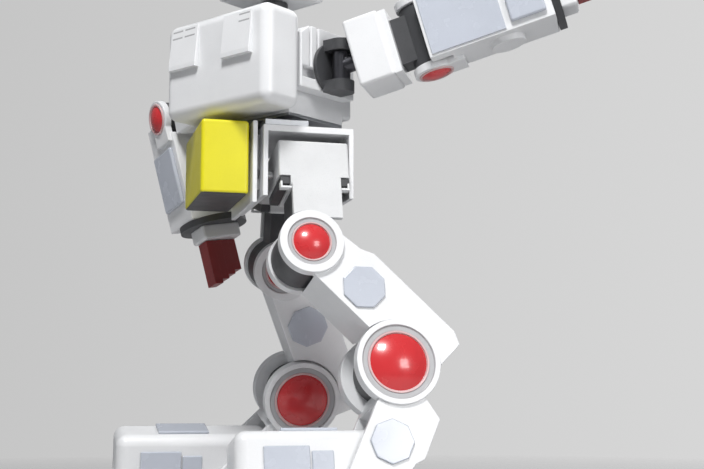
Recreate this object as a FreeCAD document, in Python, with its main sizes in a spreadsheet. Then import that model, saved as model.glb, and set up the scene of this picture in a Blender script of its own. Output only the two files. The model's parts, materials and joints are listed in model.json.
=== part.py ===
"""A four-limbed robot dog kit, standing on its hind legs, as separate bolted and hinged pieces.

Millimetres, +Z up.  The front faces -Y, the left side is +X, and the origin lies on the
floor under the middle of the bounding box.  Each limb is drawn in its own frame and then placed.
"""
import FreeCAD, Part
import math
import os
import Sketcher

doc = FreeCAD.newDocument("robot_dog")

DRIVING_SIZES = {
    # legs
    "hip_height": 173, "hip_spacing": 82, "leg_roll": 13,
    "thigh_length": 88, "thigh_offset": 17.5, "shin_length": 78, "shin_offset": 10,
    "thigh_turn_left": 44.4, "thigh_turn_right": 22.3, "shin_turn_left": -25.6,
    "leg_half_width": 19.5, "hip_ring": 20, "knee_ring": 26, "ankle_ring": 13,
    "hip_barrel": 18.5, "knee_barrel": 18.5, "barrel_half": 14.8, "ring_rise": 1.5,
    "hip_cap": 11.3, "knee_cap": 17.5, "cap_rise": 5, "shin_half_width": 22,
    "thigh_low": 13.5, "thigh_top": 24, "thigh_reach": 108, "shin_back": 36,
    "roll_pivot_rise": 52, "roll_shaft": 3,
    # feet
    "foot_half_width": 17.8, "foot_front": 74, "foot_back": 31, "foot_top": 36,
    "sole_thick": 4, "sole_half_width": 21, "base_top": 9, "foot_round": 7,
    # pelvis
    "pelvis_half_width": 44, "pelvis_low": 208, "pelvis_top": 253, "pelvis_front": 27,
    "pelvis_back": 31, "sheet_thick": 3, "channel_top": 4,
    "belly_half_width": 38, "belly_front": 65, "belly_back": 35, "belly_low": 209, "belly_top": 257,
    # trunk
    "waist_forward": 8, "trunk_turn": 34.6, "trunk_floor": 258.6, "trunk_low": 262, "trunk_top": 318,
    "trunk_half_width": 34, "trunk_front": 27, "trunk_back": 24, "cover_out": 44,
    "chest_half_width": 46.5, "chest_front": 60, "chest_back": 28.5, "chest_round": 7, "chest_lid": 7,
    "waist_bearing": 18, "cover_skirt": 15, "vent_rise": 3.4, "vent_width": 25,
    # arms
    "shoulder_out": 54, "shoulder_height": 293, "upper_arm_length": 57, "forearm_length": 80,
    "arm_swing_left": 26.5, "arm_lift_left": 16,
    "arm_swing_right": -16, "arm_lift_right": -6, "arm_twist_right": -100, "elbow_bend_right": 95,
    "shoulder_boss": 8.5, "arm_half_height": 22, "arm_fold": 12, "arm_bulge": 24, "elbow_ring": 13.5, "elbow_barrel": 12,
    "elbow_barrel_half": 19.5, "elbow_cap": 9.5, "wrist_disc": 24, "knuckle_reach": 18, "hand_half_height": 15,
    # head
    "skull_half_width": 26, "skull_low": 345, "skull_high": 393, "muzzle_reach": 72, "neck_radius": 9,
    # fits and gaps
    "running_gap": 0.4, "fit_gap": 0.05, "pad_rise": 1.5,
}


class Size:
    """A length from the sheet, kept with the expression text that gives it."""

    def __init__(self, value, text):
        self.value = float(value)
        self.text = text

    def __add__(self, other):
        other = as_size(other)
        return Size(self.value + other.value, f"({self.text} + {other.text})")

    def __sub__(self, other):
        other = as_size(other)
        return Size(self.value - other.value, f"({self.text} - {other.text})")

    def __mul__(self, other):
        other = as_size(other)
        return Size(self.value * other.value, f"({self.text} * {other.text})")

    def __truediv__(self, other):
        other = as_size(other)
        return Size(self.value / other.value, f"({self.text} / {other.text})")

    def __neg__(self):
        return Size(-self.value, f"(0 - {self.text})")

    def __radd__(self, other):
        return as_size(other) + self

    def __rsub__(self, other):
        return as_size(other) - self

    def __rmul__(self, other):
        return as_size(other) * self


def as_size(amount):
    if isinstance(amount, Size):
        return amount
    return Size(amount, f"({amount})")


def make_sheet():
    sheet = doc.addObject("Spreadsheet::Sheet", "dims")
    for row, (alias, value) in enumerate(DRIVING_SIZES.items(), start=1):
        sheet.set(f"A{row}", str(value))
        sheet.setAlias(f"A{row}", alias)
    doc.recompute()
    return sheet


SHEET = make_sheet()


def dim(alias):
    return Size(SHEET.get(alias), f"dims.{alias}")


# ---------------------------------------------------------------- drawing helpers

AXES = {"x": FreeCAD.Vector(1, 0, 0), "y": FreeCAD.Vector(0, 1, 0), "z": FreeCAD.Vector(0, 0, 1)}
SKETCH_PLANES = {"x": "YZ_Plane", "y": "XZ_Plane", "z": "XY_Plane"}


def bind(item, prop, amount):
    item.setExpression(prop, as_size(amount).text)


def bind_base(item, corner):
    for letter, amount in zip("xyz", corner):
        bind(item, f"Placement.Base.{letter}", amount)


def block(name, low, high):
    """A box between two opposite corners."""
    box = doc.addObject("Part::Box", name)
    for prop, near, far in zip(("Length", "Width", "Height"), low, high):
        bind(box, prop, as_size(far) - near)
    bind_base(box, low)
    return box


def rod(name, axis, centre, radius, low, high):
    """A cylinder about a line through centre, from low to high along the axis."""
    cylinder = doc.addObject("Part::Cylinder", name)
    cylinder.Placement.Rotation = FreeCAD.Rotation(AXES["z"], AXES[axis])
    bind(cylinder, "Radius", radius)
    bind(cylinder, "Height", as_size(high) - low)
    base = [as_size(amount) for amount in centre]
    base["xyz".index(axis)] = base["xyz".index(axis)] + low
    bind_base(cylinder, base)
    return cylinder


def prism(name, axis, outline, low, high, rounding=None):
    """A padded sketch: the outline is drawn across the axis and runs from low to high along it."""
    body = doc.addObject("PartDesign::Body", name)
    plane = next(item for item in body.Origin.OriginFeatures if item.Role == SKETCH_PLANES[axis])
    sketch = body.newObject("Sketcher::SketchObject", f"{name}_outline")
    sketch.AttachmentSupport = [(plane, "")]
    sketch.MapMode = "FlatFace"
    corners = [(as_size(across), as_size(up)) for across, up in outline]
    for index, (across, up) in enumerate(corners):
        next_across, next_up = corners[(index + 1) % len(corners)]
        start = FreeCAD.Vector(across.value, up.value, 0)
        end = FreeCAD.Vector(next_across.value, next_up.value, 0)
        sketch.addGeometry(Part.LineSegment(start, end))
    for index in range(len(corners)):
        sketch.addConstraint(Sketcher.Constraint("Coincident", index, 2, (index + 1) % len(corners), 1))
    for index, corner in enumerate(corners):
        for kind, amount in zip(("DistanceX", "DistanceY"), corner):
            number = sketch.addConstraint(Sketcher.Constraint(kind, -1, 1, index, 1, amount.value))
            bind(sketch, f"Constraints[{number}]", amount)
    pad = body.newObject("PartDesign::Pad", f"{name}_pad")
    pad.Profile = sketch
    pad.SideType = "Symmetric"
    bind(pad, "Length", as_size(high) - low)
    if rounding is not None:
        fillet = body.newObject("PartDesign::Fillet", f"{name}_rounding")
        fillet.Base = (pad, [""])
        fillet.UseAllEdges = True
        bind(fillet, "Radius", rounding)
    bind(body, f"Placement.Base.{axis}", (as_size(high) + low) / 2)
    return body


def fuse(name, items):
    union = doc.addObject("Part::MultiFuse", name)
    union.Shapes = items
    return union


def cut(name, base, tools):
    result = doc.addObject("Part::Cut", name)
    result.Base = base
    result.Tool = tools[0] if len(tools) == 1 else fuse(f"{name}_tools", tools)
    return result


def carry(name, item, placement):
    """The same item, moved into another frame of its limb."""
    moved = doc.addObject("Part::Compound", name)
    moved.Links = [item]
    moved.Placement = placement
    return moved


def ring(name, axis, centre, outer, inner, low, high):
    outside = rod(f"{name}_outside", axis, centre, outer, low, high)
    hole = rod(f"{name}_hole", axis, centre, inner, as_size(low) - 1, as_size(high) + 1)
    return cut(name, outside, [hole])


def dome(name, axis, side, centre, radius, seat, rise):
    """A shallow round cap: the part of a ball that stands proud of its seat."""
    ball_radius = (radius * radius + as_size(rise) * rise) / (2 * as_size(rise))
    ball = doc.addObject("Part::Sphere", f"{name}_ball")
    bind(ball, "Radius", ball_radius)
    middle = [as_size(amount) for amount in centre]
    place_on_axis = "xyz".index(axis)
    middle[place_on_axis] = middle[place_on_axis] + side * (as_size(seat) + rise - ball_radius)
    bind_base(ball, middle)
    if side > 0:
        column = rod(f"{name}_column", axis, centre, radius, seat, as_size(seat) + rise + 1)
    else:
        column = rod(f"{name}_column", axis, centre, radius, -(as_size(seat) + rise + 1), -as_size(seat))
    common = doc.addObject("Part::MultiCommon", name)
    common.Shapes = [ball, column]
    return common


def octagon(radius, across, up):
    """Corners of a regular eight-sided pad about a centre."""
    corners = []
    for step in range(8):
        angle = math.radians(22.5 + 45 * step)
        corners.append((as_size(across) + math.cos(angle) * as_size(radius),
                        as_size(up) + math.sin(angle) * as_size(radius)))
    return corners


def rectangle(low_across, high_across, low_up, high_up):
    return [(low_across, low_up), (high_across, low_up), (high_across, high_up), (low_across, high_up)]


# ---------------------------------------------------------------- frames of the moving pieces

def shifted(x, y, z):
    return FreeCAD.Placement(FreeCAD.Vector(x, y, z), FreeCAD.Rotation())


def turned(axis, degrees):
    return FreeCAD.Placement(FreeCAD.Vector(), FreeCAD.Rotation(AXES[axis], degrees))


def leg_frames(side):
    """Placements of one leg: yoke, thigh, shin, rolled ankle and level ankle."""
    roll = turned("y", -side * dim("leg_roll").value)
    yoke = shifted(side * dim("hip_spacing").value / 2, 0, dim("hip_height").value) * roll
    thigh_turn = dim("thigh_turn_left").value if side > 0 else dim("thigh_turn_right").value
    thigh = yoke * turned("x", thigh_turn)
    knee = shifted(0, -dim("thigh_offset").value, -dim("thigh_length").value)
    shin_turn = dim("shin_turn_left").value if side > 0 else level_shin_turn()
    shin = thigh * knee * turned("x", shin_turn - thigh_turn)
    ankle = shin * shifted(0, dim("shin_offset").value, -dim("shin_length").value) * turned("x", -shin_turn)
    level = FreeCAD.Placement(ankle.Base, FreeCAD.Rotation())
    return {"yoke": yoke, "thigh": thigh, "shin": shin, "ankle": ankle, "level": level}


def segment_drop(length, offset, turn):
    """How far a leg segment drops when it is turned about the hip or knee."""
    angle = math.radians(turn)
    return length * math.cos(angle) - offset * math.sin(angle)


def level_shin_turn():
    """The right shin's turn that puts both ankles at the same height."""
    length, offset = dim("shin_length").value, dim("shin_offset").value
    thigh = dim("thigh_length").value, -dim("thigh_offset").value
    left_drop = segment_drop(*thigh, dim("thigh_turn_left").value)
    left_drop += segment_drop(length, offset, dim("shin_turn_left").value)
    needed = left_drop - segment_drop(*thigh, dim("thigh_turn_right").value)
    lean = math.degrees(math.atan2(offset, length))
    return -math.degrees(math.acos(needed / math.hypot(length, offset))) - lean


def trunk_frame():
    return shifted(0, -dim("waist_forward").value, 0) * turned("z", dim("trunk_turn").value)


def arm_frames(side):
    """Placements of one arm: shoulder, upper arm, forearm and hand."""
    out = dim("shoulder_out").value
    shoulder = trunk_frame() * shifted(side * out, 0, dim("shoulder_height").value)
    if side > 0:
        swing = shoulder * turned("z", dim("arm_swing_left").value)
        upper_arm = swing * turned("y", -dim("arm_lift_left").value)
        bend = 0
    else:
        shoulder = shoulder * turned("z", 180)
        swing = shoulder * turned("z", dim("arm_swing_right").value)
        upper_arm = (swing * turned("y", -dim("arm_lift_right").value)
                     * turned("x", dim("arm_twist_right").value))
        bend = dim("elbow_bend_right").value
    forearm = upper_arm * shifted(dim("upper_arm_length").value, 0, 0) * turned("z", bend)
    hand = forearm * shifted(dim("forearm_length").value, 0, 0)
    return {"shoulder": shoulder, "swing": swing, "upper_arm": upper_arm, "forearm": forearm, "hand": hand}


# ---------------------------------------------------------------- finished pieces

pieces = []


def piece(item, label, frame):
    """Give a finished piece its name and the frame that it stands in."""
    item.Label = label
    pieces.append((item, frame))


# ---------------------------------------------------------------- legs

def hip_yoke(side, tag, frame):
    """The white block that rolls in the pelvis, with a tongue curved round the hip ring."""
    half = dim("leg_half_width")
    pivot = dim("roll_pivot_rise")
    top = pivot + 16
    low = pivot - 14
    gap = dim("running_gap")
    housing = prism(f"yoke_housing_{tag}", "y", rectangle(-half, half, low, top), -18, 27, rounding=1.5)
    tongue_low = 17
    if side > 0:
        tongue = block(f"yoke_tongue_{tag}", (half - 4, -10, tongue_low), (half, 21, low + 3))
    else:
        tongue = block(f"yoke_tongue_{tag}", (-half, -10, tongue_low), (4 - half, 21, low + 3))
    white = fuse(f"yoke_white_{tag}", [housing, tongue])
    arc = rod(f"yoke_arc_{tag}", "x", (0, 0, 0), dim("hip_ring") + 1, -half - 1, half + 1)
    bore = rod(f"yoke_bore_{tag}", "y", (0, 0, pivot), dim("roll_shaft") + dim("fit_gap"), -40, 40)
    notches = [block(f"yoke_notch_{y}_{tag}", (-half - 1, y, low - 1), (half + 1, y + 8, low + 6))
               for y in (-19, 21)]
    piece(cut(f"hip_yoke_{tag}", white, [arc, bore] + notches), f"hip_yoke_{tag}", frame)

    barrel = rod(f"barrel_round_{tag}", "x", (0, 0, 0), dim("hip_barrel"),
                 -dim("barrel_half"), dim("barrel_half"))
    neck = block(f"barrel_neck_{tag}", (2 - dim("barrel_half"), -9, 0),
                 (dim("barrel_half") - 2, 9, low - dim("fit_gap")))
    axle = rod(f"barrel_axle_{tag}", "x", (0, 0, 0), 4, -half - gap, half + gap)
    piece(fuse(f"hip_barrel_{tag}", [barrel, neck, axle]), f"hip_barrel_{tag}", frame)


def thigh(tag, frame):
    """A deep white shell with two ears round the hip barrel; the knee sits at its lower edge."""
    half = dim("leg_half_width")
    low, top, reach = dim("thigh_low"), dim("thigh_top"), dim("thigh_reach")
    inside = dim("barrel_half") + dim("running_gap")
    knee = (0, -dim("thigh_offset"), -dim("thigh_length"))
    outline = [(-low, -8), (top - 6, -6), (top - 4, -24), (top, -32), (top, 8 - reach),
               (top - 4, -reach), (-2, -reach), (-low, 12 - reach)]
    solid = prism(f"thigh_solid_{tag}", "x", outline, -half, half)
    adds = [solid]
    for sign, word in ((1, "out"), (-1, "in")):
        near, far = (inside, half + 1.5) if sign > 0 else (-half - 1.5, -inside)
        adds.append(rod(f"thigh_ear_{word}_{tag}", "x", (0, 0, 0), dim("hip_ring"), near, far))
        near, far = (half + 1.5, half + 3) if sign > 0 else (-half - 3, -half - 1.5)
        adds.append(ring(f"hip_rim_{word}_{tag}", "x", (0, 0, 0), dim("hip_ring"),
                         dim("hip_ring") * 0.76, near, far))
    cuts = [rod(f"thigh_hip_clear_{tag}", "x", (0, 0, 0), dim("hip_ring") + 0.6, -inside, inside),
            rod(f"thigh_axle_bore_{tag}", "x", (0, 0, 0), 4 + dim("fit_gap"), -half - 0.5, half + 0.5),
            rod(f"thigh_knee_seat_{tag}", "x", knee, dim("knee_barrel") + dim("fit_gap"), -inside, inside)]
    for sign, word in ((1, "out"), (-1, "in")):
        near, far = (inside, half + 1) if sign > 0 else (-half - 1, -inside)
        cuts.append(rod(f"thigh_recess_{word}_{tag}", "x", knee, dim("knee_ring") + 1, near, far))
    piece(cut(f"thigh_shell_{tag}", fuse(f"thigh_white_{tag}", adds), cuts), f"thigh_shell_{tag}", frame)

    barrel = rod(f"knee_drum_{tag}", "x", knee, dim("knee_barrel"), -dim("barrel_half"), dim("barrel_half"))
    axle = rod(f"knee_axle_{tag}", "x", knee, 5, -dim("shin_half_width"), dim("shin_half_width"))
    piece(fuse(f"knee_barrel_{tag}", [barrel, axle]), f"knee_barrel_{tag}", frame)

    caps = [dome(f"hip_cap_{word}_{tag}", "x", sign, (0, 0, 0), dim("hip_cap"), half + 1.5, dim("cap_rise") - 1)
            for sign, word in ((1, "out"), (-1, "in"))]
    piece(fuse(f"hip_caps_{tag}", caps), f"hip_caps_{tag}", frame)
    pads = [prism(f"thigh_pad_out_{tag}", "x", octagon(14, 3, -42), half, half + dim("pad_rise")),
            prism(f"thigh_pad_in_{tag}", "x", octagon(14, 3, -42), -half - dim("pad_rise"), -half)]
    piece(fuse(f"thigh_pads_{tag}", pads), f"thigh_pads_{tag}", frame)


def shin(tag, frame):
    """A white fork: round cheeks at the knee, a closed block at the calf, cheeks at the ankle."""
    half = dim("shin_half_width")
    inside = dim("barrel_half") + 2 * dim("running_gap") - 0.1
    back = dim("shin_back")
    length, offset = dim("shin_length"), dim("shin_offset")
    ankle = (0, offset, -length)
    outline = [(-3, -12), (-3, -length), (offset + dim("ankle_ring"), -length), (back - 6, 18 - length),
               (back - 4, -52), (back, -47), (back, -21), (back - 14, -12)]
    adds = [prism(f"shin_solid_{tag}", "x", outline, -half, half),
            rod(f"shin_ankle_{tag}", "x", ankle, dim("ankle_ring"), -half, half)]
    for sign, word in ((1, "out"), (-1, "in")):
        near, far = (inside, half + 0.5) if sign > 0 else (-half - 0.5, -inside)
        adds.append(rod(f"knee_cheek_{word}_{tag}", "x", (0, 0, 0), dim("knee_ring"), near, far))
        near, far = (half + 0.5, half + 2) if sign > 0 else (-half - 2, -half - 0.5)
        adds.append(ring(f"knee_rim_{word}_{tag}", "x", (0, 0, 0), dim("knee_ring"),
                         dim("knee_ring") * 0.87, near, far))
    foot_space = dim("foot_half_width") + dim("running_gap")
    cuts = [rod(f"shin_knee_clear_{tag}", "x", (0, 0, 0), dim("knee_barrel") + 0.7, -inside, inside),
            rod(f"shin_foot_clear_{tag}", "x", ankle, 50, -foot_space, foot_space),
            rod(f"shin_axle_bore_{tag}", "x", (0, 0, 0), 5 + dim("fit_gap"), -half, half)]
    piece(cut(f"shin_shell_{tag}", fuse(f"shin_white_{tag}", adds), cuts), f"shin_shell_{tag}", frame)

    caps = [dome(f"knee_cap_{word}_{tag}", "x", sign, (0, 0, 0), dim("knee_cap"), half + 0.5, dim("cap_rise"))
            for sign, word in ((1, "out"), (-1, "in"))]
    piece(fuse(f"knee_caps_{tag}", caps), f"knee_caps_{tag}", frame)
    pads = [prism(f"shin_pad_out_{tag}", "x", octagon(13.5, 14, -46), half, half + dim("pad_rise")),
            prism(f"shin_pad_in_{tag}", "x", octagon(13.5, 14, -46), -half - dim("pad_rise"), -half)]
    piece(fuse(f"shin_pads_{tag}", pads), f"shin_pads_{tag}", frame)


def foot(tag, ankle, level):
    """A tall box paw between the shin's cheeks, on a flat base and a rubber sole."""
    half, front, back, top = dim("foot_half_width"), dim("foot_front"), dim("foot_back"), dim("foot_top")
    height = level.Base.z
    floor_level = dim("base_top") - height
    wide = dim("sole_half_width")
    box = prism(f"paw_box_{tag}", "x", rectangle(-front, back, -32, top), -half, half,
                rounding=dim("foot_round"))
    axle = rod(f"ankle_axle_{tag}", "x", (0, 0, 0), 9, -half - 0.3, half + 0.3)
    paw = fuse(f"paw_{tag}", [box, axle])
    under = block(f"paw_under_{tag}", (-80, -front - 9, floor_level - 60), (80, back + 9, floor_level))
    base = prism(f"foot_base_{tag}", "z", rectangle(-wide, wide, -front - 2, back + 2),
                 dim("sole_thick") - height, floor_level)
    to_level = ankle.inverse() * level
    level_paw = cut(f"level_paw_{tag}", paw, [carry(f"paw_under_level_{tag}", under, to_level)])
    base = carry(f"foot_base_level_{tag}", base, to_level)
    piece(fuse(f"foot_shell_{tag}", [level_paw, base]), f"foot_shell_{tag}", ankle)

    sole = prism(f"sole_{tag}", "z", rectangle(1 - wide, wide - 1, -front - 1, back + 1),
                 -as_size(height), dim("sole_thick") - height)
    piece(sole, f"sole_{tag}", level)

    pads = [prism(f"foot_pad_top_{tag}", "z", rectangle(-11, 11, -46, -12), top, top + 2)]
    for sign, word in ((1, "out"), (-1, "in")):
        near, far = (half, half + dim("pad_rise")) if sign > 0 else (-half - dim("pad_rise"), -half)
        pads.append(prism(f"foot_pad_long_{word}_{tag}", "x", rectangle(-58, -31, -8, 26), near, far))
        pads.append(prism(f"foot_pad_short_{word}_{tag}", "x", rectangle(-30, -17, -8, 23), near, far))
    piece(fuse(f"foot_pads_{tag}", pads), f"foot_pads_{tag}", ankle)


# ---------------------------------------------------------------- pelvis

def pelvis():
    half, low, top = dim("pelvis_half_width"), dim("pelvis_low"), dim("pelvis_top")
    front, back, thick = dim("pelvis_front"), dim("pelvis_back"), dim("sheet_thick")
    under = top - dim("channel_top")
    channel = [(-front, low), (thick - front, low), (thick - front, under), (back - thick, under),
               (back - thick, low), (back, low), (back, top), (-front, top)]
    frame = prism("pelvis_channel", "x", channel, -half, half)
    spacer = block("belly_spacer", (-30, -front - thick, low + 6), (30, -front, under))
    pivot_x = pivot_place(1).x
    pivot_z = pivot_place(1).z
    bores = [rod(f"pelvis_bore_{word}", "y", (sign * pivot_x, 0, pivot_z), dim("roll_shaft") + dim("fit_gap"),
                 -front - thick - 1, back + 1) for sign, word in ((1, "left"), (-1, "right"))]
    piece(cut("pelvis_frame", fuse("pelvis_metal", [frame, spacer]), bores), "pelvis_frame", shifted(0, 0, 0))
    shafts = [rod(f"roll_shaft_{word}", "y", (sign * pivot_x, 0, pivot_z), dim("roll_shaft"), -front, back + 1)
              for sign, word in ((1, "left"), (-1, "right"))]
    piece(fuse("roll_shafts", shafts), "roll_shafts", shifted(0, 0, 0))

    plate_back = -front - thick
    plate = block("belly_plate_sheet", (-half + 4, plate_back - thick, low - 4), (half - 4, plate_back, top + 3))
    neck = block("belly_neck", (-28, -dim("belly_back"), low + 8), (28, plate_back - thick, top - 8))
    piece(fuse("belly_plate", [plate, neck]), "belly_plate", shifted(0, 0, 0))
    wide = dim("belly_half_width")
    pack = prism("belly_pack", "x", rectangle(-dim("belly_front"), -dim("belly_back"), dim("belly_low"),
                                              dim("belly_top") - 1), -wide, wide, rounding=2.2)
    piece(pack, "belly_pack", shifted(0, 0, 0))
    collar = rod("collar_round", "z", (0, -dim("waist_forward"), 0), dim("waist_bearing"), top,
                 dim("trunk_floor") - dim("running_gap"))
    boxes = [block("waist_box_left", (26, -26, top), (half - 1, 2, top + 4)),
             block("waist_box_right", (1 - half, -26, top), (-26, 2, top + 4))]
    piece(fuse("waist_collar", [collar] + boxes), "waist_collar", shifted(0, 0, 0))


def pivot_place(side):
    """Where a hip yoke's roll shaft crosses the pelvis."""
    return (leg_frames(side)["yoke"] * shifted(0, 0, dim("roll_pivot_rise").value)).Base


# ---------------------------------------------------------------- trunk and head

def trunk():
    frame = trunk_frame()
    low, top, half = dim("trunk_low"), dim("trunk_top"), dim("trunk_half_width")
    front, back = dim("trunk_front"), dim("trunk_back")
    core = block("trunk_core", (-half, -front, low), (half, back, top))
    hollow = block("trunk_hollow", (4 - half, 4 - front, low + 4), (half - 4, back - 4, top - 4))
    windows = block("trunk_window", (-half - 1, -6, low + 22), (half + 1, 12, top - 10))
    piece(cut("trunk_frame", core, [hollow, windows]), "trunk_frame", frame)
    control = block("board_sheet", (-20, -18, low + 6), (20, -16, top - 8))
    legs = [block(f"board_leg_{x}", (x, -18, low + 4), (x + 4, -16, low + 6)) for x in (-16, 12)]
    piece(fuse("control_board", [control] + legs), "control_board", frame)

    floor_round = rod("floor_round", "z", (0, 0, 0), dim("waist_bearing") + 4, dim("trunk_floor"), low)
    floor_plate = block("floor_plate", (-half, -front, low - 2), (half, back, low))
    piece(fuse("trunk_floor", [floor_round, floor_plate]), "trunk_floor", frame)

    wide = dim("chest_half_width")
    lid = top + dim("chest_lid")
    chest = prism("chest_box", "x", rectangle(-dim("chest_front"), -dim("chest_back"), low - 0.5, lid),
                  -wide, wide, rounding=dim("chest_round"))
    piece(chest, "chest_box", frame)
    face = -dim("chest_front")
    rise = dim("vent_rise")
    covers = [prism(f"vent_cover_{word}", "x", [(face, lid - 4), (face, lid - 32), (face - rise, lid - 32),
                                                (face - rise, lid - 29), (face - 0.6, lid - 4)],
                    near, near + dim("vent_width"))
              for word, near in (("left", 9), ("right", 7 - wide))]
    piece(fuse("vent_covers", covers), "vent_covers", frame)

    skirt = low + dim("cover_skirt")
    for side, word in ((1, "left"), (-1, "right")):
        near, far = (half, dim("cover_out")) if side > 0 else (-dim("cover_out"), -half)
        shell = prism(f"side_shell_{word}", "x", [(-front, skirt), (back, skirt), (back, top - 12), (back - 10, top),
                                                  (8 - front, top), (-front, top - 6)], near, far)
        near, far = (near + 4, far + 1) if side > 0 else (near - 1, far - 4)
        window = prism(f"side_window_{word}", "x", [(-5, top - 33), (16, top - 36), (16, top - 7),
                                                    (-5, top - 7)], near, far)
        slot = block(f"side_slot_{word}", (near, -25, top - 34), (far, -9, top - 27))
        grooves = [block(f"side_groove_{y}_{word}", (far - 3 if side > 0 else near, y, top - 27),
                         (far if side > 0 else near + 3, y + 1.5, top + 1)) for y in (-19, -12)]
        piece(cut(f"trunk_side_{word}", shell, [window, slot] + grooves), f"trunk_side_{word}", frame)
    piece(prism("back_pack", "x", rectangle(back, back + 15, low + 6, top - 6), -30, 30, rounding=3),
          "back_pack", frame)


def head():
    frame = trunk_frame()
    top = dim("trunk_top")
    low, high, half = dim("skull_low"), dim("skull_high"), dim("skull_half_width")
    gap = dim("running_gap")
    collar = rod("neck_collar", "z", (0, -6, 0), dim("neck_radius") + 5, top, top + 3)
    post = rod("neck_pillar", "z", (0, -6, 0), dim("neck_radius"), top + 3, low - gap)
    piece(fuse("neck_post", [collar, post]), "neck_post", frame)

    skull = prism("skull_box", "x", [(-34, low), (14, low), (20, low + 10), (20, high - 12), (8, high),
                                     (-24, high), (-34, high - 10)], -half, half, rounding=3)
    muzzle = prism("muzzle_box", "x", [(-dim("muzzle_reach"), low), (-30, low), (-30, high - 20),
                                       (6 - dim("muzzle_reach"), high - 28)], -15, 15, rounding=2.5)
    piece(fuse("skull", [skull, muzzle]), "skull", frame)
    visor = prism("visor", "x", [(-36.5, high - 17), (-34, high - 17), (-34, high - 10), (-36.5, high - 10)],
                  3 - half, half - 3)
    piece(visor, "visor", frame)
    ears = []
    for side, word in ((1, "left"), (-1, "right")):
        near, far = (half, half + 4) if side > 0 else (-half - 4, -half)
        ears.append(prism(f"ear_{word}", "x", [(-10, high - 24), (8, high - 24), (10, high + 2),
                                               (4, high + 14), (-4, high + 14), (-10, high + 2)], near, far))
    piece(fuse("ears", ears), "ears", frame)


# ---------------------------------------------------------------- arms

def shoulder(tag, frame):
    """A round turntable on the trunk's side with two lugs that hold the swing pin."""
    gap = dim("running_gap")
    reach = dim("shoulder_out") - dim("cover_out") - gap
    disc = rod(f"shoulder_disc_{tag}", "x", (0, 0, 0), 16, -reach, -7)
    clear, boss, tall = 9.6, dim("shoulder_boss"), 17
    lugs = []
    for word, low, high in (("up", clear, tall), ("down", -tall, -clear)):
        lugs.append(block(f"shoulder_lug_{word}_{tag}", (-8, -boss, low), (0, boss, high)))
        lugs.append(rod(f"shoulder_boss_{word}_{tag}", "z", (0, 0, 0), boss, low, high))
    pin = rod(f"shoulder_pin_{tag}", "z", (0, 0, 0), 2.5, -tall, tall)
    piece(fuse(f"shoulder_{tag}", [disc, pin] + lugs), f"shoulder_{tag}", frame)


def upper_arm(tag, swing, frame):
    """A white block with a pale panel, a root that swings on the shoulder pin, and the elbow drum."""
    height = dim("arm_half_height")
    length = dim("upper_arm_length")
    box = prism(f"upper_box_{tag}", "x", rectangle(-18, 18, -height, height), 11, 34, rounding=2)
    shell = cut(f"upper_shell_{tag}", box,
                [block(f"upper_hollow_{tag}", (10, -15.5, 2.5 - height), (15, 15.5, height - 2.5))])
    panel = block(f"upper_panel_{tag}", (34, -16, -height + 1), (39, 16, height - 1))
    piece(fuse(f"upper_arm_shell_{tag}", [shell, panel]), f"upper_arm_shell_{tag}", frame)

    root = rod(f"upper_root_{tag}", "z", (0, 0, 0), 6, -9.2, 9.2)
    neck = carry(f"upper_neck_lifted_{tag}", rod(f"upper_neck_{tag}", "x", (0, 0, 0), 5.5, 2, 15),
                 swing.inverse() * frame)
    stem = cut(f"upper_stem_{tag}", fuse(f"upper_stem_metal_{tag}", [root, neck]),
               [rod(f"upper_bore_{tag}", "z", (0, 0, 0), 2.55, -12, 12)])
    piece(stem, f"upper_arm_root_{tag}", swing)
    drum = rod(f"elbow_drum_{tag}", "z", (length, 0, 0), dim("elbow_barrel"), -dim("elbow_barrel_half"),
               dim("elbow_barrel_half"))
    bridge = block(f"elbow_bridge_{tag}", (39, -9, -15), (length, 9, 15))
    axle = rod(f"elbow_axle_{tag}", "z", (length, 0, 0), 3, -dim("elbow_barrel_half") - 4,
               dim("elbow_barrel_half") + 4)
    piece(fuse(f"elbow_frame_{tag}", [drum, bridge, axle]), f"elbow_frame_{tag}", frame)


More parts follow.
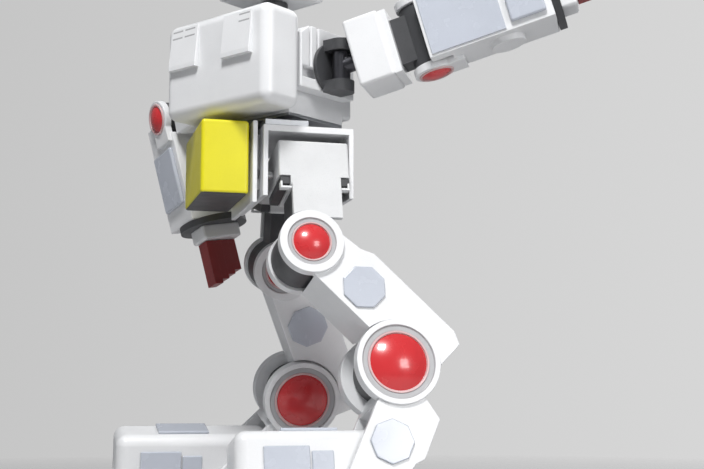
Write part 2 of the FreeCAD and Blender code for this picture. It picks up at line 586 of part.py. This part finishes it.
def forearm(tag, frame):
    """A long white block whose elbow sits at one edge, with ring ears above and below the drum."""
    height, fold, bulge = dim("arm_half_height"), dim("arm_fold"), dim("arm_bulge")
    length = dim("forearm_length")
    ear_low = dim("elbow_barrel_half") + 0.5
    outline = [(14, fold), (14, -14.5), (1, -14.5), (1, -bulge), (length, -bulge), (length, fold)]
    solid = prism(f"forearm_solid_{tag}", "z", outline, -height, height)
    adds = [solid, rod(f"forearm_boss_{tag}", "z", (48, -8, 0), 11, -height - 4, 4 - height)]
    for sign, word in ((1, "up"), (-1, "down")):
        near, far = (ear_low, ear_low + 5) if sign > 0 else (-ear_low - 5, -ear_low)
        adds.append(rod(f"elbow_ear_{word}_{tag}", "z", (0, 0, 0), dim("elbow_ring"), near, far))
        adds.append(block(f"elbow_arm_{word}_{tag}", (0, -10, near), (20, 10, far)))
    clears = [rod(f"forearm_clear_{tag}", "z", (0, 0, 0), dim("elbow_ring") + 0.4, -ear_low, ear_low),
              rod(f"forearm_bore_{tag}", "z", (0, 0, 0), 3.05, -ear_low - 3.6, ear_low + 3.6)]
    piece(cut(f"forearm_shell_{tag}", fuse(f"forearm_white_{tag}", adds), clears),
          f"forearm_shell_{tag}", frame)
    caps = [dome(f"elbow_cap_{word}_{tag}", "z", sign, (0, 0, 0), dim("elbow_cap"), ear_low + 5, 3)
            for sign, word in ((1, "up"), (-1, "down"))]
    piece(fuse(f"elbow_caps_{tag}", caps), f"elbow_caps_{tag}", frame)
    panel = block(f"forearm_panel_{tag}", (3, -bulge - 1, 1.5 - height), (50, -bulge, height - 1.5))
    pads = [prism(f"forearm_pad_low_{tag}", "y", rectangle(54, 76, -18, -2), -bulge - 3, -bulge, rounding=1.4),
            prism(f"forearm_pad_high_{tag}", "y", rectangle(54, 76, 2, 18), -bulge - 3, -bulge, rounding=1.4),
            prism(f"forearm_pad_top_{tag}", "z", rectangle(24, 66, 4 - bulge, fold - 4), height, height + 3,
                  rounding=1.4)]
    piece(fuse(f"forearm_pad_{tag}", [panel] + pads), f"forearm_pad_{tag}", frame)


def hand(tag, frame):
    """A turning wrist disc with the hand's back, and a row of stepped fingers that close."""
    gap = dim("running_gap")
    reach = dim("knuckle_reach")
    disc = rod(f"wrist_round_{tag}", "x", (0, 0, 0), dim("wrist_disc"), gap, 5)
    back = prism(f"hand_block_{tag}", "x", rectangle(-9, 11, -dim("hand_half_height"), dim("hand_half_height")),
                 4, reach - 3, rounding=2)
    lug = block(f"hand_lug_{tag}", (reach - 7, -9, -3), (reach, -5, 3))
    knuckle = rod(f"hand_knuckle_{tag}", "z", (reach, -7, 0), 2.5, -3, 3)
    pin = rod(f"hand_pin_{tag}", "z", (reach, -7, 0), 1, -9, 9)
    piece(fuse(f"hand_back_{tag}", [disc, back, lug, knuckle, pin]), f"hand_back_{tag}", frame)
    fingers = []
    for step in range(4):
        low = -12 + 6.2 * step
        fingers.append(block(f"finger_{step}_{tag}", (reach - 2.5, -8 + step, low),
                             (reach + 20 + 3 * step, 4 + step, low + 6.2)))
    clears = [block(f"finger_clear_{tag}", (reach - 8, -12, -3.4), (reach, -3.6, 3.4)),
              rod(f"finger_round_{tag}", "z", (reach, -7, 0), 3.2, -3.4, 3.4),
              rod(f"finger_bore_{tag}", "z", (reach, -7, 0), 1.05, -9.2, 9.2)]
    piece(cut(f"fingers_{tag}", fuse(f"finger_row_{tag}", fingers), clears), f"fingers_{tag}", frame)


# ---------------------------------------------------------------- build, check and write

def build():
    pelvis()
    trunk()
    head()
    for side, tag in ((1, "left"), (-1, "right")):
        frames = leg_frames(side)
        hip_yoke(side, tag, frames["yoke"])
        thigh(tag, frames["thigh"])
        shin(tag, frames["shin"])
        foot(tag, frames["ankle"], frames["level"])
        frames = arm_frames(side)
        shoulder(tag, frames["shoulder"])
        upper_arm(tag, frames["swing"], frames["upper_arm"])
        forearm(tag, frames["forearm"])
        hand(tag, frames["hand"])


def set_on_floor():
    """Place every piece, with the origin on the floor under the middle of the bounding box."""
    doc.recompute()
    bounds = FreeCAD.BoundBox()
    for item, frame in pieces:
        for letter in "xyz":
            item.setExpression(f"Placement.Base.{letter}", None)
        item.Placement = frame * item.Placement
        bounds.add(item.Shape.BoundBox)
    centre = shifted(-bounds.Center.x, -bounds.Center.y, -bounds.ZMin)
    for item, _ in pieces:
        item.Placement = centre * item.Placement
    doc.recompute()
    return centre


def check_and_write():
    for item in doc.Objects:
        if "Invalid" in item.State or "Error" in item.State:
            raise RuntimeError(f"{item.Label} did not build: {item.State}")
    os.makedirs("parts", exist_ok=True)
    for item, _ in pieces:
        if item.Shape.isNull() or not item.Shape.isValid():
            raise RuntimeError(f"{item.Label} has no valid shape")
        item.Shape.exportStep(f"parts/{item.Label}.step")


build()
origin_shift = set_on_floor()
check_and_write()
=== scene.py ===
"""Looks for the four-limbed robot dog: finished shells, pads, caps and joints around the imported
CAD frame.  Metres, +Z up.  The front faces -Y and the left side is +X."""
import json
import math
import bmesh
import bpy
from mathutils import Matrix, Vector

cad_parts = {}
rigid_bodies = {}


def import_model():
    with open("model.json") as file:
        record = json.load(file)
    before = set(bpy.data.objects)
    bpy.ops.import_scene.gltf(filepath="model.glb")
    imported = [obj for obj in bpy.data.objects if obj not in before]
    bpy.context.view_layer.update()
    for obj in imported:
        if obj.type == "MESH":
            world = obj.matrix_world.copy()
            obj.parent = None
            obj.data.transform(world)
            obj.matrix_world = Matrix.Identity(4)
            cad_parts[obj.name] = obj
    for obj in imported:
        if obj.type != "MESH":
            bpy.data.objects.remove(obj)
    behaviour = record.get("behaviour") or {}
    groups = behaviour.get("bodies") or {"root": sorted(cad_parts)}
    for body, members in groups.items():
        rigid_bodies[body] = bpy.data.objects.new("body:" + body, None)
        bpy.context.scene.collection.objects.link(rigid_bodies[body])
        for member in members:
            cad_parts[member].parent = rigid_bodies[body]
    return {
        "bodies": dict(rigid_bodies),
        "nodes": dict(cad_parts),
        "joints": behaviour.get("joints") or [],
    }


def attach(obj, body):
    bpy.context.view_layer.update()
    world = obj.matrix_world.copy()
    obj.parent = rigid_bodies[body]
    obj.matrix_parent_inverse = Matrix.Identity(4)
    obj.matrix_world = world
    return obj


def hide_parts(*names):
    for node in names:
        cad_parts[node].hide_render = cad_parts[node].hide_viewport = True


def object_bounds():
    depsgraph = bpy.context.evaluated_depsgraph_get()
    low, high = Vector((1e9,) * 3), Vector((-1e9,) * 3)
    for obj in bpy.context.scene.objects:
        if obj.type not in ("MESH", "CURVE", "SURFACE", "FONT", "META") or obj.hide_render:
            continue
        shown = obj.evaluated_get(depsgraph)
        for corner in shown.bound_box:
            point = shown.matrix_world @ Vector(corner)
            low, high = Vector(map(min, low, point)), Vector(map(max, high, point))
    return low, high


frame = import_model()
cad_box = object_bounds()
MM = 0.001


# ---------------------------------------------------------------- materials

class Shader:
    """A Principled material with short calls for the few node patterns used here."""

    def __init__(self, name, colour, roughness, **sockets):
        self.material = bpy.data.materials.new(name)
        self.material.use_nodes = True
        self.material.diffuse_color = (*colour, 1)
        self.nodes = self.material.node_tree.nodes
        self.links = self.material.node_tree.links
        self.base = self.nodes["Principled BSDF"]
        self.base.inputs["Base Color"].default_value = (*colour, 1)
        self.base.inputs["Roughness"].default_value = roughness
        for socket, value in sockets.items():
            self.base.inputs[socket.replace("_", " ")].default_value = value
        self.place = self.nodes.new("ShaderNodeTexCoord").outputs["Object"]
        self.height = None

    def noise(self, scale, detail=3, roughness=0.55):
        node = self.nodes.new("ShaderNodeTexNoise")
        node.inputs["Scale"].default_value = scale
        node.inputs["Detail"].default_value = detail
        node.inputs["Roughness"].default_value = roughness
        self.links.new(self.place, node.inputs["Vector"])
        return node.outputs["Fac"]

    def spread(self, value, low, high, to_low, to_high):
        node = self.nodes.new("ShaderNodeMapRange")
        for socket, number in zip(node.inputs[1:5], (low, high, to_low, to_high)):
            socket.default_value = number
        self.links.new(value, node.inputs["Value"])
        return node.outputs["Result"]

    def mix(self, factor, first, second):
        """first and second are colours, or an output that carries a colour."""
        node = self.nodes.new("ShaderNodeMix")
        node.data_type = "RGBA"
        self.links.new(factor, node.inputs["Factor"])
        for socket, colour in ((node.inputs["A"], first), (node.inputs["B"], second)):
            if isinstance(colour, tuple):
                socket.default_value = (*colour, 1)
            else:
                self.links.new(colour, socket)
        return node.outputs["Result"]

    def edge(self, radius):
        """1 on a convex or concave edge, fading to 0 at about that radius from it."""
        bevel = self.nodes.new("ShaderNodeBevel")
        bevel.samples = 4
        bevel.inputs["Radius"].default_value = radius
        geometry = self.nodes.new("ShaderNodeNewGeometry")
        dot = self.nodes.new("ShaderNodeVectorMath")
        dot.operation = "DOT_PRODUCT"
        self.links.new(bevel.outputs["Normal"], dot.inputs[0])
        self.links.new(geometry.outputs["Normal"], dot.inputs[1])
        return self.spread(dot.outputs["Value"], 0.97, 0.75, 0, 1)

    def bump(self, value, distance, strength=1):
        node = self.nodes.new("ShaderNodeBump")
        node.inputs["Strength"].default_value = strength
        node.inputs["Distance"].default_value = distance
        self.links.new(value, node.inputs["Height"])
        if self.height is not None:
            self.links.new(self.height, node.inputs["Normal"])
        self.height = node.outputs["Normal"]
        self.links.new(self.height, self.base.inputs["Normal"])

    def colour(self, output):
        self.links.new(output, self.base.inputs["Base Color"])

    def roughness(self, output):
        self.links.new(output, self.base.inputs["Roughness"])


def scaled(colour, factor):
    return tuple(min(1, channel * factor) for channel in colour)


def moulded(name, colour, roughness, grain=0.00003, speckle=0.06, wear=None, **sockets):
    """Moulded plastic: faint blotches, fine specks in the surface, and edges rubbed to `wear`."""
    shader = Shader(name, colour, roughness, **sockets)
    blotches = shader.spread(shader.noise(28, 4), 0.35, 0.65, 0, 1)
    tone = shader.mix(blotches, scaled(colour, 1 - speckle / 2), scaled(colour, 1 + speckle / 2))
    specks = shader.spread(shader.noise(1900, 2, 0.8), 0.56, 0.7, 0, 0.55)
    tone = shader.mix(specks, tone, scaled(colour, 1 - 2.2 * speckle))
    if wear is not None:
        rubbed = shader.nodes.new("ShaderNodeMath")
        rubbed.operation = "MULTIPLY"
        shader.links.new(shader.edge(0.0009), rubbed.inputs[0])
        shader.links.new(shader.spread(shader.noise(160, 4), 0.42, 0.62, 0, 0.75), rubbed.inputs[1])
        tone = shader.mix(rubbed.outputs["Value"], tone, wear)
    shader.colour(tone)
    shader.roughness(shader.spread(shader.noise(60, 5), 0.3, 0.7, roughness - 0.05, roughness + 0.07))
    shader.bump(shader.noise(2400, 2), grain)
    return shader.material


def brushed(name, colour, roughness, **sockets):
    """Metal with fine drawn lines along one direction."""
    shader = Shader(name, colour, roughness, Metallic=1.0, **sockets)
    stretch = shader.nodes.new("ShaderNodeMapping")
    stretch.inputs["Scale"].default_value = (1, 1, 40)
    shader.links.new(shader.place, stretch.inputs["Vector"])
    shader.place = stretch.outputs["Vector"]
    lines = shader.noise(160, 5, 0.7)
    shader.colour(shader.mix(lines, scaled(colour, 0.82), scaled(colour, 1.12)))
    shader.roughness(shader.spread(lines, 0.3, 0.7, roughness - 0.08, roughness + 0.1))
    shader.bump(lines, 0.00002)
    return shader.material


WHITE = (0.77, 0.775, 0.785)
MATERIALS = {
    "white_shell": moulded("white_shell", WHITE, 0.34, speckle=0.05, wear=(0.62, 0.63, 0.65),
                           Coat_Weight=0.12, Coat_Roughness=0.25),
    "pale_pad": moulded("pale_pad", (0.50, 0.53, 0.595), 0.24, grain=0.00001, speckle=0.05,
                        Coat_Weight=0.5, Coat_Roughness=0.12),
    "ring_grey": moulded("ring_grey", (0.42, 0.42, 0.43), 0.38, speckle=0.06),
    "rim_pink": moulded("rim_pink", (0.62, 0.42, 0.42), 0.3, speckle=0.05),
    "dark_joint": moulded("dark_joint", (0.055, 0.056, 0.06), 0.42, grain=0.00004, speckle=0.25,
                          wear=(0.16, 0.16, 0.17)),
    "red_cap": moulded("red_cap", (0.60, 0.030, 0.035), 0.26, grain=0.00001, speckle=0.06,
                       Coat_Weight=0.5, Coat_Roughness=0.1),
    "yellow_pack": moulded("yellow_pack", (0.70, 0.63, 0.012), 0.36, speckle=0.06,
                           wear=(0.9, 0.86, 0.25)),
    "speckled_white": moulded("speckled_white", (0.63, 0.635, 0.64), 0.5, grain=0.00006, speckle=0.11,
                              wear=(0.55, 0.56, 0.57)),
    "gun_metal": brushed("gun_metal", (0.09, 0.09, 0.1), 0.35),
    "grey_metal": brushed("grey_metal", (0.42, 0.43, 0.45), 0.38),
    "steel_pin": brushed("steel_pin", (0.62, 0.62, 0.63), 0.24),
    "sole_rubber": moulded("sole_rubber", (0.035, 0.035, 0.037), 0.75, grain=0.00008, speckle=0.3),
    "visor_dark": moulded("visor_dark", (0.012, 0.013, 0.016), 0.1, grain=0.000005, speckle=0.1,
                          Coat_Weight=0.8, Coat_Roughness=0.04),
    # finger_red is the caps' red darkened: painted shade on the fingers.
    "finger_red": moulded("finger_red", (0.26, 0.03, 0.03), 0.35, speckle=0.12,
                          wear=(0.42, 0.1, 0.09)),
    "board_green": moulded("board_green", (0.02, 0.14, 0.06), 0.35, speckle=0.2),
}


# ---------------------------------------------------------------- places on the object

JOINTS = {joint["name"]: joint for joint in frame["joints"]}
SIDES = ("left", "right")
UP = Vector((0, 0, 1))


def joint_place(pivot, along=None, up=UP):
    """A frame at a joint's pivot: X along that joint's axis, or another's, and Z as near to `up`
    as it can be."""
    x = Vector(JOINTS[along or pivot]["axis"]).normalized()
    z = (up - x * x.dot(up)).normalized()
    place = Matrix((x, z.cross(x), z)).transposed().to_4x4()
    place.translation = Vector(JOINTS[pivot]["pos_m"])
    return place


def trunk_place():
    """The trunk's own frame, with its origin on the floor."""
    place = joint_place("waist_turn", along="shoulder_turn_left")
    place.translation.z = 0
    return place


# ---------------------------------------------------------------- finished CAD shapes

BODY_OF = {node: body for node, item in frame["nodes"].items()
           for body, empty in frame["bodies"].items() if item.parent == empty}


def material_slot(node):
    """The record's material slot of a CAD node."""
    return frame["nodes"][node].data.materials[0].name.split(".")[0]


def put(mesh, name, body, slot, material=None):
    """A new piece of that mesh, in its material, riding on a body."""
    piece = bpy.data.objects.new(name, mesh)
    bpy.context.scene.collection.objects.link(piece)
    mesh.materials.clear()
    mesh.materials.append(material or MATERIALS[slot])
    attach(piece, body)
    return piece


def soften(piece, edge, segments=3, sharp=30):
    """Rounds a piece's edges by that many millimetres and shades it smoothly."""
    piece.data.shade_smooth()
    piece.data.set_sharp_from_angle(angle=math.radians(sharp))
    if edge:
        bevel = piece.modifiers.new("rounded_edges", "BEVEL")
        bevel.width = edge * MM
        bevel.segments = segments
        bevel.limit_method = "ANGLE"
        bevel.angle_limit = math.radians(sharp)
        bevel.harden_normals = True
    even = piece.modifiers.new("even_shading", "WEIGHTED_NORMAL")
    even.keep_sharp = True
    return piece


WELD = 0.002    # millimetres within which a CAD mesh's corners are one corner
FLAT = 0.4      # degrees between faces that still count as one flat face


def finished(node, edge, slot, material, segments=3):
    """A CAD node's shape with its edges rounded, standing for that node."""
    shape = bmesh.new()
    shape.from_mesh(frame["nodes"][node].data)
    bmesh.ops.remove_doubles(shape, verts=shape.verts, dist=WELD * MM)
    bmesh.ops.dissolve_limit(shape, angle_limit=math.radians(FLAT), verts=shape.verts, edges=shape.edges)
    mesh = bpy.data.meshes.new(f"{node}_finished")
    shape.to_mesh(mesh)
    shape.free()
    piece = put(mesh, f"{node}_finished", BODY_OF[node], slot, material)
    soften(piece, edge, segments)
    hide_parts(node)
    return piece


ROUNDED = {  # millimetres of edge rounding for each kind of CAD node
    "pelvis_frame": 0.5, "belly_plate": 0.6, "trunk_frame": 0.4, "trunk_floor": 0.4, "chest_box": 0.4,
    "vent_covers": 0.7, "trunk_side": 0.7, "back_pack": 0.5, "neck_post": 0.6, "skull": 0.9,
    "visor": 0.8, "ears": 0.6, "hip_yoke": 0.6, "hip_barrel": 0.5, "thigh_shell": 0.8,
    "knee_barrel": 0.5, "thigh_pads": 0.6, "shin_shell": 0.8, "shin_pads": 0.6, "foot_shell": 0.8,
    "sole": 0.7, "foot_pads": 0.7, "shoulder": 0.5, "upper_arm_shell": 0.6, "upper_arm_root": 0.4,
    "elbow_frame": 0.5, "forearm_shell": 0.8, "forearm_pad": 0.4, "hand_back": 0.6, "fingers": 0.6,
    "waist_collar": 0.4, "belly_pack": 0.4, "control_board": 0.2, "roll_shafts": 0.3,
    "hip_caps": 0, "knee_caps": 0, "elbow_caps": 0,
}


def kind_of(node):
    return node.removesuffix("_left").removesuffix("_right")


def two_tone_and_painted_shade(piece, chosen, slot):
    """Gives the faces that `chosen` picks, by their centre and normal, a second material: a part's second
    colour, and painted shade where faces are picked by the way they face.
    """
    piece.data.materials.append(MATERIALS[slot])
    for face in piece.data.polygons:
        if chosen(face.center, face.normal):
            face.material_index = 1


OWN_FINISH = {"hip_yoke": "speckled_white", "upper_arm_root": "gun_metal"}


def carried_over():
    """Every CAD node in its finish, with painted shade on the belly pack's downward faces and the dark
    backs of the hands.
    """
    made = {}
    for node in sorted(frame["nodes"]):
        slot = material_slot(node)
        material = MATERIALS[OWN_FINISH.get(kind_of(node), slot)]
        made[node] = finished(node, ROUNDED[kind_of(node)], slot, material)
    # The belly pack's downward faces get the dark joint colour: painted shade on its underside.
    two_tone_and_painted_shade(made["belly_pack"], lambda centre, normal: normal.z < -0.7, "dark_joint")
    for side in SIDES:
        wrist = joint_place(f"wrist_turn_{side}").inverted()
        two_tone_and_painted_shade(made[f"hand_back_{side}"],
                 lambda centre, normal: (wrist @ centre).x < 5.1 * MM, "dark_joint")


# ---------------------------------------------------------------- added detail

def lathe(name, profile, place, side, body, slot, material=None):
    """A closed ring turned about the place's X axis.  The profile is (radius, distance out) in
    millimetres, and side is 1 or -1 for which way out is."""
    shape = bmesh.new()
    corners = [shape.verts.new((side * out * MM, 0, radius * MM)) for radius, out in profile]
    for first, second in zip(corners, corners[1:] + corners[:1]):
        shape.edges.new((first, second))
    bmesh.ops.spin(shape, geom=shape.verts[:] + shape.edges[:], axis=(1, 0, 0), cent=(0, 0, 0),
                   angle=2 * math.pi, steps=96, use_merge=True)
    bmesh.ops.recalc_face_normals(shape, faces=shape.faces)
    shape.transform(place)
    mesh = bpy.data.meshes.new(name)
    shape.to_mesh(mesh)
    shape.free()
    return soften(put(mesh, name, body, slot, material), 0.15, 2)


def bars(name, boxes, place, body, slot, edge=0.25, material=None):
    """Small rounded bars in one piece, each from its low corner to its high corner in millimetres."""
    shape = bmesh.new()
    for low, high in boxes:
        low, high = Vector(low) * MM, Vector(high) * MM
        size = high - low
        fit = Matrix.Translation((low + high) / 2) @ Matrix.Diagonal((*size, 1))
        bmesh.ops.create_cube(shape, size=1, matrix=fit)
    shape.transform(place)
    mesh = bpy.data.meshes.new(name)
    shape.to_mesh(mesh)
    shape.free()
    return soften(put(mesh, name, body, slot, material), edge, 2)


RING_RISE = 0.9      # millimetres that a dish or rim stands out from its seat
DISH_FLOOR = 0.35    # height of the dish's floor above its seat
DISH_LIP = 0.6       # how far the dish's lip slopes in


def joint_rings():
    """The grey dish and thin rim round each red cap."""
    sets = {  # joint: body that carries the ring, seat, dish outer and inner radius, cap radius
        "hip_pitch": ("thigh", 21.0, 15.1, 12.6, 11.35),
        "knee": ("shin", 22.5, 22.5, 19.2, 17.55),
    }
    for side_name in SIDES:
        for joint, (body, seat, dish, rim, cap) in sets.items():
            place = joint_place(f"{joint}_{side_name}")
            for side, word in ((1, "a"), (-1, "b")):
                lathe(f"{joint}_dish_{side_name}_{word}",
                      [(dish, seat), (dish, seat + RING_RISE), (dish - DISH_LIP, seat + DISH_FLOOR),
                       (rim, seat + DISH_FLOOR), (rim, seat)],
                      place, side, f"{body}_{side_name}", "pale_pad", MATERIALS["ring_grey"])
                lathe(f"{joint}_rim_{side_name}_{word}",
                      [(rim, seat), (rim - 0.15, seat + RING_RISE), (cap + 0.3, seat + 1.0), (cap, seat)],
                      place, side, f"{body}_{side_name}", "red_cap", MATERIALS["rim_pink"])
        seat = 25
        place = joint_place(f"elbow_{side_name}")
        for side, word in ((1, "a"), (-1, "b")):
            lathe(f"elbow_rim_{side_name}_{word}",
                  [(11.2, seat), (11.0, seat + RING_RISE), (9.9, seat + RING_RISE), (9.55, seat)],
                  place, side, f"forearm_{side_name}", "red_cap", MATERIALS["rim_pink"])


def chest_grilles():
    """Grey bars near the tops of the two vent covers, lying on their sloped faces, for the slits: their
    grey is painted shade inside the slits.
    """
    place = trunk_place()
    face, lid, slope = -60, 325, 2.8 / 25
    length, height = 9.5, 1.3

    def slit(across, drop):
        out = face - 0.6 - slope * (drop - 4)
        return (across, out - 0.12, lid - drop - height), (across + length, out + 0.6, lid - drop)

    for name, starts in (("grille_right", (-38, -26.5)), ("grille_left", (23,))):
        slits = [slit(across, drop) for across in starts for drop in (5.5, 10)]
        # The bars stand slightly proud; their grey paints the shade inside the slits.
        bars(name, slits, place, "trunk", "dark_joint", 0.12, MATERIALS["ring_grey"])


def yoke_fittings():
    """Dark blocks behind the yoke's notches, and small white brackets under them."""
    for side_name, out in (("left", 1), ("right", -1)):
        place = joint_place(f"hip_pitch_{side_name}")
        body = f"hip_{side_name}"
        bars(f"yoke_inserts_{side_name}", [((-18.6, -17.2, 38.6), (18.6, -11.4, 43.8)),
                                           ((-18.6, 21.4, 38.6), (18.6, 26.2, 43.8))],
             place, body, "dark_joint")
        near, far = (14.5, 19.3) if out > 0 else (-19.3, -14.5)
        bars(f"yoke_brackets_{side_name}",
             [((near, -17.4, 35.6), (far, -10.4, 37)), ((near, -17.4, 37), (far, -16.2, 40.2)),
              ((near, 21.2, 35.6), (far, 26.4, 37)), ((near, 25.2, 37), (far, 26.4, 40.2))],
             place, body, "white_shell")


carried_over()
joint_rings()
chest_grilles()
yoke_fittings()


# ---------------------------------------------------------------- floor, light and camera

LOOK_AZIMUTH = 75      # degrees from +Y towards -X
LOOK_UP = 7.8          # degrees above the horizon
CAMERA_PLACE = Vector((0.76965, -0.20126, 0.082))


def studio_floor():
    """A round pale floor that fades into the backdrop before its rim."""
    mesh = bpy.data.meshes.new("studio_floor")
    disc = bmesh.new()
    bmesh.ops.create_circle(disc, cap_ends=True, segments=96, radius=3)
    disc.to_mesh(mesh)
    disc.free()
    floor = bpy.data.objects.new("studio_floor", mesh)
    bpy.context.scene.collection.objects.link(floor)
    shader = Shader("studio_floor", (0.6, 0.6, 0.6), 0.6)
    distance = shader.nodes.new("ShaderNodeVectorMath")
    distance.operation = "LENGTH"
    shader.links.new(shader.place, distance.inputs[0])
    clear = shader.nodes.new("ShaderNodeBsdfTransparent")
    blend = shader.nodes.new("ShaderNodeMixShader")
    shader.links.new(shader.spread(distance.outputs["Value"], 0.3, 1.1, 0, 1), blend.inputs["Fac"])
    shader.links.new(shader.base.outputs["BSDF"], blend.inputs[1])
    shader.links.new(clear.outputs["BSDF"], blend.inputs[2])
    shader.links.new(blend.outputs["Shader"], shader.nodes["Material Output"].inputs["Surface"])
    mesh.materials.append(shader.material)


def backdrop():
    """An even grey studio, a little brighter towards the object's back."""
    world = bpy.data.worlds.new("studio")
    bpy.context.scene.world = world
    world.use_nodes = True
    nodes, links = world.node_tree.nodes, world.node_tree.links
    place = nodes.new("ShaderNodeTexCoord")
    split = nodes.new("ShaderNodeSeparateXYZ")
    ramp = nodes.new("ShaderNodeMapRange")
    for socket, number in zip(ramp.inputs[1:5], (-0.1, 0.6, 0.55, 0.69)):
        socket.default_value = number
    links.new(place.outputs["Generated"], split.inputs["Vector"])
    links.new(split.outputs["Y"], ramp.inputs["Value"])
    links.new(ramp.outputs["Result"], nodes["Background"].inputs["Color"])
    ambient = nodes.new("ShaderNodeBackground")
    ambient.inputs["Color"].default_value = (0.20, 0.205, 0.215, 1)
    seen = nodes.new("ShaderNodeLightPath")
    choice = nodes.new("ShaderNodeMixShader")
    links.new(seen.outputs["Is Camera Ray"], choice.inputs["Fac"])
    links.new(ambient.outputs["Background"], choice.inputs[1])
    links.new(nodes["Background"].outputs["Background"], choice.inputs[2])
    links.new(choice.outputs["Shader"], nodes["World Output"].inputs["Surface"])


def softbox(name, place, aim, size, power):
    """A rectangular area light of that width and height, turned towards `aim`."""
    lamp = bpy.data.lights.new(name, "AREA")
    lamp.shape = "RECTANGLE"
    lamp.size, lamp.size_y = size
    lamp.energy = power
    item = bpy.data.objects.new(name, lamp)
    item.location = place
    item.rotation_euler = (Vector(aim) - Vector(place)).to_track_quat("-Z", "Y").to_euler()
    bpy.context.scene.collection.objects.link(item)


def camera():
    """The scene's camera, low at the object's left side."""
    azimuth, up = math.radians(LOOK_AZIMUTH), math.radians(LOOK_UP)
    aim = Vector((-math.sin(azimuth) * math.cos(up), math.cos(azimuth) * math.cos(up), math.sin(up)))
    lens = bpy.data.cameras.new("studio_camera")
    lens.lens = 62
    lens.sensor_width = 36
    item = bpy.data.objects.new("studio_camera", lens)
    item.location = CAMERA_PLACE
    item.rotation_euler = aim.to_track_quat("-Z", "Y").to_euler()
    bpy.context.scene.collection.objects.link(item)
    bpy.context.scene.camera = item


studio_floor()
backdrop()
middle = (cad_box[0] + cad_box[1]) / 2
softbox("key_light", middle + Vector((0.8, -0.4, 1.15)), middle, (0.35, 0.35), 21)
softbox("fill_light", middle + Vector((1.4, 0.65, 0.4)), middle, (0.5, 0.5), 8)
softbox("back_light", middle + Vector((-1.0, 0.8, 0.9)), middle, (1.0, 1.0), 5)
camera()
bpy.context.scene.view_settings.view_transform = "Standard"
